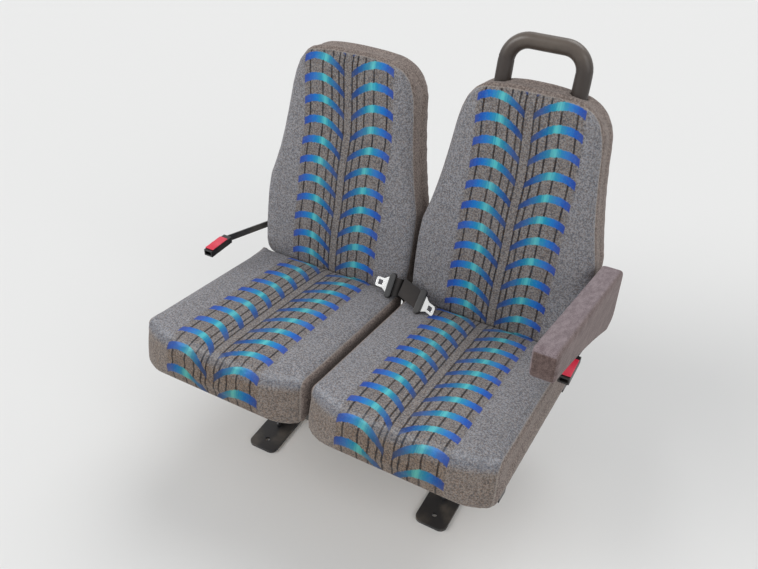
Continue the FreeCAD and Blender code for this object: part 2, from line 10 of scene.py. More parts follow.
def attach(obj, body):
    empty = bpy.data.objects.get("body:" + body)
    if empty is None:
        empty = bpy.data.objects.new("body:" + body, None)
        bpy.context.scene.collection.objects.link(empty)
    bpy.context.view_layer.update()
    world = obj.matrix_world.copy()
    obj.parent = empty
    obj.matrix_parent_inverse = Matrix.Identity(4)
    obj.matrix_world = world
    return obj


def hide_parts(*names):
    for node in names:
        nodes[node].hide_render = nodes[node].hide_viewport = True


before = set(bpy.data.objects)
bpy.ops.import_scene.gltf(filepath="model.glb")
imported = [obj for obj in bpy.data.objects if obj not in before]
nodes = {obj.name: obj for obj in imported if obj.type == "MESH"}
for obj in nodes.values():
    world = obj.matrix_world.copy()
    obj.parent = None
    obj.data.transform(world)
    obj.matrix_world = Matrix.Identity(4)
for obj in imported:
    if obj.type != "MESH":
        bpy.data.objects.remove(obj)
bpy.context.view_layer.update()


# The room: a plain pale floor and a white world, with soft even daylight from both sides and from above.
# The camera stands where a passenger in the doorway would, and looks down at the seat.
CAMERA_AT = (0.7081, -1.2697, 1.6674)
CAMERA_TURN = math.radians(29.0)
CAMERA_DOWN = math.radians(38.0)
CAMERA_LENS = 37.0
FLOOR_SIZE = 40.0
ROOM_GREY = (0.74, 0.74, 0.73, 1)


def finish_named(name, colour, roughness, metallic=0.0):
    made = bpy.data.materials.new(name)
    made.use_nodes = True
    surface = made.node_tree.nodes["Principled BSDF"]
    surface.inputs["Base Color"].default_value = colour
    surface.inputs["Roughness"].default_value = roughness
    surface.inputs["Metallic"].default_value = metallic
    return made, made.node_tree, surface


floor_mesh = bmesh.new()
bmesh.ops.create_grid(floor_mesh, x_segments=1, y_segments=1, size=FLOOR_SIZE / 2)
floor = bpy.data.objects.new("floor", bpy.data.meshes.new("floor"))
floor_mesh.to_mesh(floor.data)
floor_mesh.free()
bpy.context.scene.collection.objects.link(floor)
floor.data.materials.append(finish_named("pale_floor", ROOM_GREY, 0.9)[0])

world = bpy.data.worlds.new("room")
bpy.context.scene.world = world
world.use_nodes = True
sky = world.node_tree
path = sky.nodes.new("ShaderNodeLightPath")
seen = sky.nodes.new("ShaderNodeMath")
seen.operation = "MAXIMUM"
sky.links.new(path.outputs["Is Camera Ray"], seen.inputs[0])
sky.links.new(path.outputs["Is Glossy Ray"], seen.inputs[1])
clear = sky.nodes.new("ShaderNodeMath")
clear.operation = "MAXIMUM"
sky.links.new(seen.outputs[0], clear.inputs[0])
sky.links.new(path.outputs["Is Transmission Ray"], clear.inputs[1])
room_light = sky.nodes.new("ShaderNodeMapRange")
room_light.inputs["To Min"].default_value = 0.50
room_light.inputs["To Max"].default_value = 0.9
sky.links.new(clear.outputs[0], room_light.inputs["Value"])
sky.links.new(room_light.outputs[0], sky.nodes["Background"].inputs["Strength"])
sky.nodes["Background"].inputs["Color"].default_value = (0.97, 0.98, 1.0, 1)


def day_light(name, place, width, power):
    day = bpy.data.lights.new(name, "SUN")
    day.angle = math.radians(width)
    day.energy = power
    lamp = bpy.data.objects.new(name, day)
    bpy.context.scene.collection.objects.link(lamp)
    lamp.location = place
    lamp.rotation_euler = (Vector((0, 0, 0.6)) - Vector(place)).to_track_quat("-Z", "Y").to_euler()


day_light("window_light", (-2.2, -1.6, 2.6), 34, 1.25)
day_light("door_light", (2.6, -1.2, 2.4), 40, 0.60)
day_light("roof_light", (0.4, 1.6, 3.2), 40, 1.05)

eye = bpy.data.cameras.new("camera")
eye.sensor_width = 36.0
eye.lens = CAMERA_LENS
camera = bpy.data.objects.new("camera", eye)
bpy.context.scene.collection.objects.link(camera)
camera.location = CAMERA_AT
camera.rotation_euler = (math.pi / 2 - CAMERA_DOWN, 0, CAMERA_TURN)
bpy.context.scene.camera = camera
bpy.context.scene.view_settings.view_transform = "Standard"


# The cloth: transit velour, woven with two mirrored columns of curved bands on a flecked grey ground.
# Its pattern is drawn from the cloth's own map: metres across from the middle, and metres along the run.
COLUMN_INNER, COLUMN_OUTER = 0.010, 0.127
COLUMN_EDGE = 0.001
PINSTRIPES = (0.0117, 0.0255, 0.046, 0.0725, 0.1095)
PINSTRIPE_CORE, PINSTRIPE_EDGE = 0.0015, 0.0030
BAND_THINNING = 0.0022
# The last of these scales sets the patches that break up the wear and the painted highlight and shade where the cloth
# turns over the cushion's front rim.
THREADS_A_METRE, FINE_FLECKS, COARSE_FLECKS, TINTS, SLUBS, WEAR_AND_LIGHT_PATCHES = 420, 520, 240, 340, 26, 60
PILE = 0.0004


def ink(red, green, blue):
    """A colour as it looks on a screen, from 0 to 255, as the linear shares that shaders take."""
    shares = []
    for part in (red, green, blue):
        shares.append(part / 255 / 12.92 if part <= 10 else ((part / 255 + 0.055) / 1.055) ** 2.4)
    return (*shares, 1)


def effect(name, inputs, outputs):
    tree = bpy.data.node_groups.new(name, "ShaderNodeTree")
    for socket, kind, value in inputs:
        made = tree.interface.new_socket(socket, in_out="INPUT", socket_type=kind)
        if value is not None:
            made.default_value = value
    for socket, kind in outputs:
        tree.interface.new_socket(socket, in_out="OUTPUT", socket_type=kind)
    return tree, tree.nodes.new("NodeGroupInput"), tree.nodes.new("NodeGroupOutput")


def feed(tree, value, socket):
    if isinstance(value, bpy.types.NodeSocket):
        tree.links.new(value, socket)
    else:
        socket.default_value = value


def sum_of(tree, operation, first, second=None):
    node = tree.nodes.new("ShaderNodeMath")
    node.operation = operation
    feed(tree, first, node.inputs[0])
    if second is not None:
        feed(tree, second, node.inputs[1])
    return node.outputs[0]


def ease(tree, value, low, high, to_low=0.0, to_high=1.0):
    node = tree.nodes.new("ShaderNodeMapRange")
    node.interpolation_type = "SMOOTHSTEP"
    sockets = ("Value", "From Min", "From Max", "To Min", "To Max")
    for socket, given in zip(sockets, (value, low, high, to_low, to_high)):
        feed(tree, given, node.inputs[socket])
    return node.outputs[0]


def blended(tree, share, first, second, kind="MIX"):
    node = tree.nodes.new("ShaderNodeMix")
    node.data_type = "RGBA"
    node.blend_type = kind
    feed(tree, share, node.inputs["Factor"])
    feed(tree, first, node.inputs[6])
    feed(tree, second, node.inputs[7])
    return node.outputs[2]


def speckle(tree, place, scale, detail=2.0, stretch=(1, 1, 1)):
    mapping = tree.nodes.new("ShaderNodeMapping")
    mapping.inputs["Scale"].default_value = stretch
    tree.links.new(place, mapping.inputs["Vector"])
    noise = tree.nodes.new("ShaderNodeTexNoise")
    noise.inputs["Scale"].default_value = scale
    noise.inputs["Detail"].default_value = detail
    tree.links.new(mapping.outputs[0], noise.inputs["Vector"])
    return noise.outputs["Fac"]


def ramp(tree, value, stops):
    node = tree.nodes.new("ShaderNodeValToRGB")
    while len(node.color_ramp.elements) < len(stops):
        node.color_ramp.elements.new(0.5)
    for element, (at, colour) in zip(node.color_ramp.elements, stops):
        element.position = at
        element.color = colour
    tree.links.new(value, node.inputs[0])
    return node.outputs[0]


banded, into, out = effect(
    "banded_velour",
    (("Across", "NodeSocketFloat", 0.0), ("Run", "NodeSocketFloat", 0.0), ("Place", "NodeSocketVector", None),
     ("Pitch", "NodeSocketFloat", 0.0523), ("Start", "NodeSocketFloat", 0.0), ("Crest", "NodeSocketFloat", 0.078),
     ("Tail", "NodeSocketFloat", 0.044), ("Droop", "NodeSocketFloat", 0.01), ("Half", "NodeSocketFloat", 0.0088),
     ("Side", "NodeSocketFloat", 0.0), ("Bend", "NodeSocketFloat", 0.0)),
    (("Color", "NodeSocketColor"), ("Pile", "NodeSocketFloat")),
)
across = sum_of(banded, "ABSOLUTE", into.outputs["Across"])
past_crest = sum_of(banded, "SUBTRACT", across, into.outputs["Crest"])
outer_reach = sum_of(banded, "SUBTRACT", COLUMN_OUTER, into.outputs["Crest"])
inner_reach = sum_of(banded, "SUBTRACT", into.outputs["Crest"], COLUMN_INNER)
beyond = sum_of(banded, "DIVIDE", sum_of(banded, "MAXIMUM", past_crest, 0.0), outer_reach)
short_of_crest = sum_of(banded, "MULTIPLY", past_crest, -1.0)
within = sum_of(banded, "DIVIDE", sum_of(banded, "MAXIMUM", short_of_crest, 0.0), inner_reach)
outer_fall = sum_of(banded, "MULTIPLY", sum_of(banded, "POWER", beyond, 2.6), into.outputs["Droop"])
inner_fall = sum_of(banded, "MULTIPLY", sum_of(banded, "POWER", within, 1.85), into.outputs["Tail"])
started = sum_of(banded, "SUBTRACT", into.outputs["Run"], into.outputs["Start"])
fallen = sum_of(banded, "ADD", started, sum_of(banded, "ADD", outer_fall, inner_fall))
turns = sum_of(banded, "DIVIDE", fallen, into.outputs["Pitch"])
phase = sum_of(banded, "SUBTRACT", sum_of(banded, "FRACT", sum_of(banded, "ADD", turns, 0.5)), 0.5)
off_band = sum_of(banded, "ABSOLUTE", sum_of(banded, "MULTIPLY", phase, into.outputs["Pitch"]))
thinning = sum_of(banded, "MULTIPLY", sum_of(banded, "POWER", within, 4.0), BAND_THINNING)
half_band = sum_of(banded, "SUBTRACT", into.outputs["Half"], thinning)
threads = speckle(banded, into.outputs["Place"], THREADS_A_METRE, 2.0, (1, 0.05, 0.05))
ragged = sum_of(banded, "MULTIPLY", sum_of(banded, "SUBTRACT", threads, 0.5), 0.006)
inside = sum_of(banded, "ADD", sum_of(banded, "SUBTRACT", off_band, half_band), ragged)
past_inner = ease(banded, across, COLUMN_INNER - COLUMN_EDGE, COLUMN_INNER + COLUMN_EDGE)
before_outer = ease(banded, across, COLUMN_OUTER - COLUMN_EDGE, COLUMN_OUTER + COLUMN_EDGE, 1.0, 0.0)
in_column = sum_of(banded, "MULTIPLY", past_inner, before_outer)
band = sum_of(banded, "MULTIPLY", ease(banded, inside, -0.0012, 0.0009, 1.0, 0.0), in_column)
stripe = 0.0
for at in PINSTRIPES:
    line = sum_of(banded, "ABSOLUTE", sum_of(banded, "SUBTRACT", across, at))
    stripe = sum_of(banded, "MAXIMUM", stripe, ease(banded, line, PINSTRIPE_CORE, PINSTRIPE_EDGE, 1.0, 0.0))
fine_fleck = sum_of(banded, "MULTIPLY", speckle(banded, into.outputs["Place"], FINE_FLECKS, 2.0), 0.5)
coarse_fleck = sum_of(banded, "MULTIPLY", speckle(banded, into.outputs["Place"], COARSE_FLECKS, 2.0), 0.5)
fleck = sum_of(banded, "ADD", fine_fleck, coarse_fleck)
tint = speckle(banded, into.outputs["Place"], TINTS, 1.0)
slub = speckle(banded, into.outputs["Place"], SLUBS, 3.0)
reach = sum_of(banded, "DIVIDE", sum_of(banded, "SUBTRACT", across, COLUMN_INNER), COLUMN_OUTER - COLUMN_INNER)
blur = sum_of(banded, "MULTIPLY", sum_of(banded, "SUBTRACT", threads, 0.5), 0.14)
blurred_reach = sum_of(banded, "ADD", reach, blur)
woven = ramp(banded, blurred_reach, (
    (0.0, ink(46, 62, 104)), (0.14, ink(36, 76, 142)), (0.27, ink(28, 106, 162)), (0.38, ink(32, 136, 166)),
    (0.48, ink(88, 194, 198)), (0.58, ink(30, 144, 182)), (0.72, ink(26, 118, 196)), (0.86, ink(32, 88, 180)),
    (1.0, ink(46, 72, 154))))
side_ground = blended(banded, ease(banded, fleck, 0.40, 0.60), ink(98, 98, 102), ink(156, 155, 158))
column_ground = blended(banded, ease(banded, fleck, 0.40, 0.60), ink(86, 82, 82), ink(145, 139, 135))
ground = blended(banded, ease(banded, across, COLUMN_OUTER - 0.006, COLUMN_OUTER + 0.006), column_ground, side_ground)
ground = blended(banded, sum_of(banded, "MULTIPLY", stripe, 0.96), ground, ink(24, 20, 22))
ground = blended(banded, ease(banded, tint, 0.50, 0.60, 0.0, 0.16), ground, ink(150, 116, 86))
ground = blended(banded, ease(banded, tint, 0.40, 0.50, 0.14, 0.0), ground, ink(92, 112, 138))
cloth = blended(banded, band, ground, woven)
cloth = blended(banded, ease(banded, fleck, 0.48, 0.62, 0.0, 0.10), cloth, ink(140, 146, 150))
# Where the cloth turns over the cushion's front rim it carries painted light: a pale line where the turn starts, part
# wear and part painted highlight, then a band of painted shade, then a tan tint on the front face as painted shading
# of the nap.
patches = speckle(banded, into.outputs["Place"], WEAR_AND_LIGHT_PATCHES, 4.0, (1, 2.5, 1))
patches = sum_of(banded, "MULTIPLY", sum_of(banded, "SUBTRACT", patches, 0.5), 0.55)
front_tone = sum_of(banded, "ADD", into.outputs["Bend"], patches)
wear_and_highlight = sum_of(banded, "MULTIPLY", ease(banded, front_tone, 0.04, 0.24), ease(banded, front_tone, 0.24, 0.50, 1.0, 0.0))
shaded = sum_of(banded, "MULTIPLY", ease(banded, front_tone, 0.26, 0.50), ease(banded, front_tone, 0.55, 0.85, 1.0, 0.0))
cloth = blended(banded, sum_of(banded, "MULTIPLY", wear_and_highlight, 0.13), cloth, ink(182, 190, 200))
cloth = blended(banded, sum_of(banded, "MULTIPLY", shaded, 0.30), cloth, ink(66, 74, 88))
nap_shade_tan = blended(banded, 1.0, cloth, ink(232, 212, 190), "MULTIPLY")
cloth = blended(banded, ease(banded, into.outputs["Bend"], 0.55, 0.95, 0.0, 0.85), cloth, nap_shade_tan)
boxing = blended(banded, ease(banded, fleck, 0.40, 0.60), ink(94, 84, 79), ink(146, 133, 126))
cloth = blended(banded, ease(banded, into.outputs["Side"], -0.0006, 0.0006), cloth, boxing)
# A pale line along each seam is a painted highlight on its edge.
seam_distance = sum_of(banded, "ABSOLUTE", into.outputs["Side"])
cloth = blended(banded, ease(banded, seam_distance, 0.0010, 0.0022, 0.30, 0.0), cloth, ink(176, 168, 160))
cloth = blended(banded, ease(banded, slub, 0.35, 0.75, 0.0, 0.10), cloth, ink(150, 146, 142))
banded.links.new(cloth, out.inputs["Color"])
banded.links.new(fleck, out.inputs["Pile"])


def roughened(tree, surface, height, strength, distance):
    bump = tree.nodes.new("ShaderNodeBump")
    bump.inputs["Strength"].default_value = strength
    bump.inputs["Distance"].default_value = distance
    tree.links.new(height, bump.inputs["Height"])
    tree.links.new(bump.outputs[0], surface.inputs["Normal"])


def velour(name, pitch, start, crest, tail, droop, half):
    """The cloth for one kind of pad, with its bands' pitch and start along the run and their shape across."""
    made, tree, surface = finish_named(name, (0.2, 0.2, 0.2, 1), 0.95)
    surface.inputs["Sheen Weight"].default_value = 0.10
    surface.inputs["Sheen Roughness"].default_value = 0.5
    surface.inputs["Specular IOR Level"].default_value = 0.15
    weave_map = tree.nodes.new("ShaderNodeUVMap")
    weave_map.uv_map = "weave"
    parts = tree.nodes.new("ShaderNodeSeparateXYZ")
    tree.links.new(weave_map.outputs[0], parts.inputs[0])
    place = tree.nodes.new("ShaderNodeTexCoord")
    side = tree.nodes.new("ShaderNodeAttribute")
    side.attribute_name = "side"
    group = tree.nodes.new("ShaderNodeGroup")
    group.node_tree = banded
    tree.links.new(parts.outputs[0], group.inputs["Across"])
    tree.links.new(parts.outputs[1], group.inputs["Run"])
    tree.links.new(place.outputs["Object"], group.inputs["Place"])
    tree.links.new(side.outputs["Fac"], group.inputs["Side"])
    bend = tree.nodes.new("ShaderNodeAttribute")
    bend.attribute_name = "bend"
    tree.links.new(bend.outputs["Fac"], group.inputs["Bend"])
    for socket, value in (("Pitch", pitch), ("Start", start), ("Crest", crest), ("Tail", tail), ("Droop", droop),
                          ("Half", half)):
        group.inputs[socket].default_value = value
    tree.links.new(group.outputs["Color"], surface.inputs["Base Color"])
    roughened(tree, surface, group.outputs["Pile"], 0.5, PILE)
    return made


# The cushions: a foam block on a plywood board, in a velour cover that is pulled down over the front and stapled
# under the board. The patterned cloth is sewn to plain boxing along the sides, and the front rim is rounded.
PAN_TILT = math.radians(9.5)
CREASE_Y, CREASE_Z = 0.150, 0.395
SEAT_MIDDLE = 0.229
CUSHION_HALF = 0.2245
CUSHION_FRONT, CUSHION_FLAT, CUSHION_CORNER = 0.519, 0.090, 0.022
CUSHION_BOW = math.radians(38.0)
FRONT_ROUND, SIDE_ROUND = 0.034, 0.015
CUSHION_TOP = 0.004
CUSHION_BOW_DROP = 2.5
REAR_ROUND_SHARE, REAR_ROUND_START, REAR_ROUND_RISE = 0.4, 0.010, 0.060
CUSHION_ROUND_FADE = 0.014
REAR_TUCK, REAR_TUCK_AHEAD, REAR_TUCK_DEPTH, REAR_TUCK_FADE = 0.004, 0.030, 0.060, 0.040
BOXING_INSET = 0.006
REAR_SEAM_AHEAD, REAR_SEAM_DOWN = 0.010, 0.012
CUSHION_STRAY, CUSHION_SKEW = {"window": 0.004, "aisle": -0.002}, -0.015
SKIN_GRAIN = 0.006
COVER_PRESSURE, COVER_FRAMES = 4.0, 20
COVER_CAP = 0.004
HOLD_FADE = 0.02
STAPLED_DEPTH = 0.075
SEAM_DEPTH, SEAM_WIDTH = 0.0016, 0.0035
FLAT_ENOUGH, SHARP_EDGE, SHARP_LIGHT = math.radians(1.5), math.radians(32), math.radians(40)


def settled(thing):
    shape = thing.evaluated_get(bpy.context.evaluated_depsgraph_get())
    mesh = bpy.data.meshes.new_from_object(shape)
    thing.modifiers.clear()
    old = thing.data
    thing.data = mesh
    bpy.data.meshes.remove(old)


def places(mesh):
    spots = np.empty(len(mesh.vertices) * 3, dtype=np.float32)
    mesh.vertices.foreach_get("co", spots)
    return spots.reshape(-1, 3).astype(float)


def facing(mesh):
    normals = np.empty(len(mesh.vertices) * 3, dtype=np.float32)
    mesh.vertices.foreach_get("normal", normals)
    return normals.reshape(-1, 3).astype(float)


def move_to(mesh, spots):
    mesh.vertices.foreach_set("co", spots.astype(np.float32).ravel())
    mesh.update()


def placed(thing):
    bpy.context.scene.collection.objects.link(thing)
    return thing


def merged_copy(node, name):
    """A copy of one of the part's solids under its own name, with its loose triangles joined."""
    thing = placed(bpy.data.objects.new(name, nodes[node].data.copy()))
    thing.data.materials.clear()
    shell = bmesh.new()
    shell.from_mesh(thing.data)
    bmesh.ops.remove_doubles(shell, verts=shell.verts, dist=0.00002)
    shell.to_mesh(thing.data)
    shell.free()
    return thing


def evened(thing, rounds):
    even = thing.modifiers.new("even", "SMOOTH")
    even.factor = 0.5
    even.iterations = rounds
    settled(thing)


def foam_block(node, name, grain, rounds):
    """A solid's shape as one even skin, for the cover to be stretched over."""
    thing = merged_copy(node, name)
    skin = thing.modifiers.new("skin", "REMESH")
    skin.mode = "VOXEL"
    skin.voxel_size = grain
    evened(thing, rounds)
    return thing


def from_rim(flat, outline):
    """How far points lie inside an anticlockwise outline, and the way inward from its nearest place."""
    along = np.roll(outline, -1, axis=0) - outline
    length = (along ** 2).sum(1)
    straight = np.stack([-along[:, 1], along[:, 0]], 1) / np.sqrt(length)[:, None]
    corner = straight + np.roll(straight, 1, axis=0)
    corner /= np.linalg.norm(corner, axis=1)[:, None]
    nearest = np.full(len(flat), 9.0)
    inward = np.zeros(len(flat))
    way = np.zeros((len(flat), 2))
    for number in range(len(outline)):
        share = np.clip((flat - outline[number]) @ along[number] / length[number], 0, 1)[:, None]
        off = flat - outline[number] - share * along[number]
        distance = np.hypot(off[:, 0], off[:, 1])
        nearer = distance < nearest
        nearest[nearer] = distance[nearer]
        inward[nearer] = (np.sign(off @ straight[number]) * distance)[nearer]
        turned = corner[number] * (1 - share) + corner[(number + 1) % len(outline)] * share
        way[nearer] = turned[nearer]
    return inward, way


def round_over(inward, down, radius, fade):
    """New distances from the two faces of a sharp rim, once it is rounded to the radius."""
    turn = math.pi / 4 * (1 + np.clip((inward - down) / radius, -1, 1))
    share = np.clip((fade - np.minimum(inward, down)) / (0.5 * fade), 0, 1) * (np.abs(inward - down) < radius)
    return share * (radius * (1 - np.cos(turn)) - inward), share * (radius * (1 - np.sin(turn)) - down)


def stretch_cover(thing, held, cap):
    """Blows the cover up against the places where it is sewn or stapled, and keeps it within the cap."""
    before = places(thing.data)
    sewn = thing.vertex_groups.new(name="sewn")
    for index, weight in enumerate(held):
        if weight > 0.01:
            sewn.add([index], float(weight), "REPLACE")
    cover = thing.modifiers.new("cover", "CLOTH")
    cover.settings.quality = 6
    cover.settings.mass = 0.3
    cover.settings.tension_stiffness = 12
    cover.settings.compression_stiffness = 12
    cover.settings.shear_stiffness = 6
    cover.settings.bending_stiffness = 0.6
    cover.settings.use_pressure = True
    cover.settings.uniform_pressure_force = COVER_PRESSURE
    cover.settings.effector_weights.gravity = 0
    cover.settings.vertex_group_mass = "sewn"
    cover.point_cache.frame_start = 1
    cover.point_cache.frame_end = COVER_FRAMES
    for number in range(1, COVER_FRAMES + 1):
        bpy.context.scene.frame_set(number)
    settled(thing)
    bpy.context.scene.frame_set(1)
    step = places(thing.data) - before
    length = np.linalg.norm(step, axis=1)[:, None]
    move_to(thing.data, before + step * np.minimum(1.0, cap / np.maximum(length, 1e-9)))


def map_cloth(thing, weave, side, bend):
    """Writes the cloth's map, how far each point lies past the boxing's seam, and how far it is bent to the front."""
    mesh = thing.data
    layer = mesh.uv_layers.new(name="weave")
    loops = np.empty(len(mesh.loops), dtype=np.int32)
    mesh.loops.foreach_get("vertex_index", loops)
    layer.data.foreach_set("uv", weave[loops].astype(np.float32).ravel())
    for attribute, values in (("side", side), ("bend", bend)):
        made = mesh.attributes.new(attribute, "FLOAT", "POINT")
        made.data.foreach_set("value", values.astype(np.float32))


def finer(thing):
    finish = thing.modifiers.new("finer", "SUBSURF")
    finish.levels = finish.render_levels = 1
    settled(thing)
    thing.data.shade_smooth()


def draw_seam(thing, depth, width):
    """Pulls the finished cover in along the seam, where the attribute is nought."""
    mesh = thing.data
    past = np.empty(len(mesh.vertices), dtype=np.float32)
    mesh.attributes["side"].data.foreach_get("value", past)
    pull = depth * np.exp(-(past / width) ** 2)
    move_to(mesh, places(mesh) - facing(mesh) * pull[:, None])


def fitted(thing, body, material, slot, *replaced):
    thing.data.materials.clear()
    thing.data.materials.append(material)
    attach(thing, body)
    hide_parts(*replaced)


def eased(node, name, width, material, slot, segments=2, body="frame"):
    """A solid's own shape with its sharp edges broken."""
    thing = merged_copy(node, name)
    shell = bmesh.new()
    shell.from_mesh(thing.data)
    bmesh.ops.dissolve_limit(shell, angle_limit=FLAT_ENOUGH, verts=shell.verts, edges=shell.edges)
    sharp = [edge for edge in shell.edges if edge.calc_face_angle(0) > SHARP_EDGE]
    bmesh.ops.bevel(shell, geom=sharp, offset=width, offset_type="OFFSET", segments=segments, profile=0.5,
                    affect="EDGES", clamp_overlap=True, material=-1)
    shell.to_mesh(thing.data)
    shell.free()
    thing.data.shade_smooth()
    thing.data.set_sharp_from_angle(angle=SHARP_LIGHT)
    even = thing.modifiers.new("even_light", "WEIGHTED_NORMAL")
    even.keep_sharp = True
    fitted(thing, body, material, slot, node)
    return thing


def pan_place(spots):
    y, z = spots[:, 1] - CREASE_Y, spots[:, 2] - CREASE_Z
    return z * math.sin(PAN_TILT) - y * math.cos(PAN_TILT), y * math.sin(PAN_TILT) + z * math.cos(PAN_TILT)


def pan_step(across, ahead, up):
    return np.stack([across, up * math.sin(PAN_TILT) - ahead * math.cos(PAN_TILT),
                     up * math.cos(PAN_TILT) + ahead * math.sin(PAN_TILT)], 1)


def cushion_plan():
    """The cushion's outline from above, as a fine chain of corners: across and ahead."""
    reach = CUSHION_HALF - CUSHION_CORNER * (1 - math.sin(CUSHION_BOW)) - CUSHION_FLAT
    bow_radius = reach / math.sin(CUSHION_BOW)
    corner = CUSHION_FRONT - bow_radius * (1 - math.cos(CUSHION_BOW)) - CUSHION_CORNER * math.cos(CUSHION_BOW)
    half = [(CUSHION_HALF, -0.3), (CUSHION_HALF, corner)]
    for step in range(1, 9):
        turn = (math.pi / 2 - CUSHION_BOW) * step / 8
        half.append((CUSHION_HALF - CUSHION_CORNER * (1 - math.cos(turn)), corner + CUSHION_CORNER * math.sin(turn)))
    for step in range(1, 13):
        turn = CUSHION_BOW * (1 - step / 12)
        half.append((CUSHION_FLAT + bow_radius * math.sin(turn), CUSHION_FRONT - bow_radius * (1 - math.cos(turn))))
    return np.array(half + [(-across, ahead) for across, ahead in reversed(half)])


cushion_velour = velour("cushion_velour", pitch=0.056, start=-0.0607, crest=0.084, tail=0.043, droop=0.010,
                        half=0.0101)
board_plywood, tree, surface = finish_named("board_plywood", ink(176, 144, 104), 0.8)
place = tree.nodes.new("ShaderNodeTexCoord").outputs["Object"]
figure = speckle(tree, place, 22, 5.0, (1, 0.08, 6))
plies = ramp(tree, figure, ((0.3, ink(146, 112, 74)), (0.5, ink(184, 150, 108)), (0.7, ink(202, 172, 130))))
tree.links.new(plies, surface.inputs["Base Color"])
plan = cushion_plan()
for side_name, middle in (("window", -SEAT_MIDDLE), ("aisle", SEAT_MIDDLE)):
    cushion = foam_block(f"cushion_{side_name}", f"cushion_cover_{side_name}", SKIN_GRAIN, 5)
    spots = places(cushion.data)
    ahead, up = pan_place(spots)
    across = spots[:, 0] - middle
    inward, way = from_rim(np.stack([across, ahead], 1), plan)
    down = np.maximum(CUSHION_TOP - up, 0)
    radius = SIDE_ROUND + (FRONT_ROUND - SIDE_ROUND) * np.clip(-way[:, 1], 0, 1) ** 2
    from_rear = np.clip((ahead - REAR_ROUND_START) / REAR_ROUND_RISE, 0, 1)
    radius *= REAR_ROUND_SHARE + (1 - REAR_ROUND_SHARE) * from_rear
    move_in, move_down = round_over(inward, down, radius, CUSHION_ROUND_FADE)
    move_to(cushion.data, spots + pan_step(way[:, 0] * move_in, way[:, 1] * move_in, -move_down))
    evened(cushion, 3)
    spots = places(cushion.data)
    ahead, up = pan_place(spots)
    across = spots[:, 0] - middle
    rear = np.clip((REAR_TUCK_AHEAD - ahead) / REAR_TUCK_AHEAD, 0, 1)
    rear *= np.clip((up + REAR_TUCK_DEPTH) / REAR_TUCK_FADE, 0, 1)
    move_to(cushion.data, spots + pan_step(0 * rear, -REAR_TUCK * rear, 0 * rear))
    bow_start = np.maximum(np.abs(across) - CUSHION_FLAT, 0)
    to_front = CUSHION_FRONT - bow_start ** 2 * CUSHION_BOW_DROP - ahead
    down = np.maximum(CUSHION_TOP - up, 0)
    turned = np.clip(FRONT_ROUND - (to_front - down), 0, 2 * FRONT_ROUND) * math.pi / 4
    run = np.where(turned > 0, ahead + to_front - FRONT_ROUND, ahead) + turned
    run += np.maximum(down - to_front - FRONT_ROUND, 0)
    past_boxing = np.abs(across) - CUSHION_HALF + BOXING_INSET
    side = np.maximum(past_boxing, np.minimum(REAR_SEAM_AHEAD - ahead, -REAR_SEAM_DOWN - up))
    stretch_cover(cushion, np.clip((-STAPLED_DEPTH - up) / HOLD_FADE, 0, 1), COVER_CAP)
    map_cloth(cushion, np.stack([across - CUSHION_STRAY[side_name], CUSHION_SKEW * across - run], 1), side,
              turned / (FRONT_ROUND * math.pi / 2))
    finer(cushion)
    draw_seam(cushion, SEAM_DEPTH, SEAM_WIDTH)
    fitted(cushion, "frame", cushion_velour, "seat_fabric", f"cushion_{side_name}")
    eased(f"cushion_board_{side_name}", f"board_{side_name}", 0.0008, board_plywood, "plywood")


# The backs: foam on a steel frame, in a cover of patterned velour at the front with plain boxing round it.
# The cover is sewn along the rim and tucked behind a rear panel of moulded plastic with a fine grain.
# An effect for grain and dust is shared by the panels, the plastics, the paint and the zinc.
BACK_LEAN = math.radians(14.0)
BACK_LOW_ROUND, BACK_ROUND, BACK_TOP_ROUND = 0.014, 0.034, 0.012
ROUND_START, ROUND_RISE = 0.17, 0.13
BACK_ROUND_FADE = 0.016
BACK_CROWN = 0.003
TOP_START = 0.5
SIDE_SEAM_DEEP, TOP_SEAM_IN, REAR_SEAM_DEEP = 0.018, 0.0115, 0.045
TUCKED_DEEP = 0.060
BACK_SKEW = 0.038
STRAY_AT = (0.05, 0.12, 0.18, 0.28, 0.38, 0.45, 0.52, 0.58)
BACK_STRAY = {"aisle": (0.008, 0.0085, 0.011, 0.010, 0.013, 0.0095, 0.002, -0.002),
              "window": (0.0035, 0.0035, 0.007, 0.007, 0.012, 0.006, -0.0035, -0.009)}
BACK_HALF_OUTLINE = (
    (0.182, -0.015), (0.202, -0.009), (0.2145, 0.004), (0.2215, 0.028), (0.2245, 0.070), (0.226, 0.120),
    (0.2257, 0.170), (0.224, 0.218), (0.2135, 0.260), (0.2044, 0.305), (0.196, 0.350), (0.1884, 0.401),
    (0.179, 0.475), (0.172, 0.507), (0.160, 0.538), (0.142, 0.561), (0.122, 0.575), (0.102, 0.582),
    (0.060, 0.5875), (0.0, 0.589),
)


def back_place(spots):
    y, z = spots[:, 1] - CREASE_Y, spots[:, 2] - CREASE_Z
    return y * math.sin(BACK_LEAN) + z * math.cos(BACK_LEAN), y * math.cos(BACK_LEAN) - z * math.sin(BACK_LEAN)


def back_step(across, along, deep):
    return np.stack([across, along * math.sin(BACK_LEAN) + deep * math.cos(BACK_LEAN),
                     along * math.cos(BACK_LEAN) - deep * math.sin(BACK_LEAN)], 1)


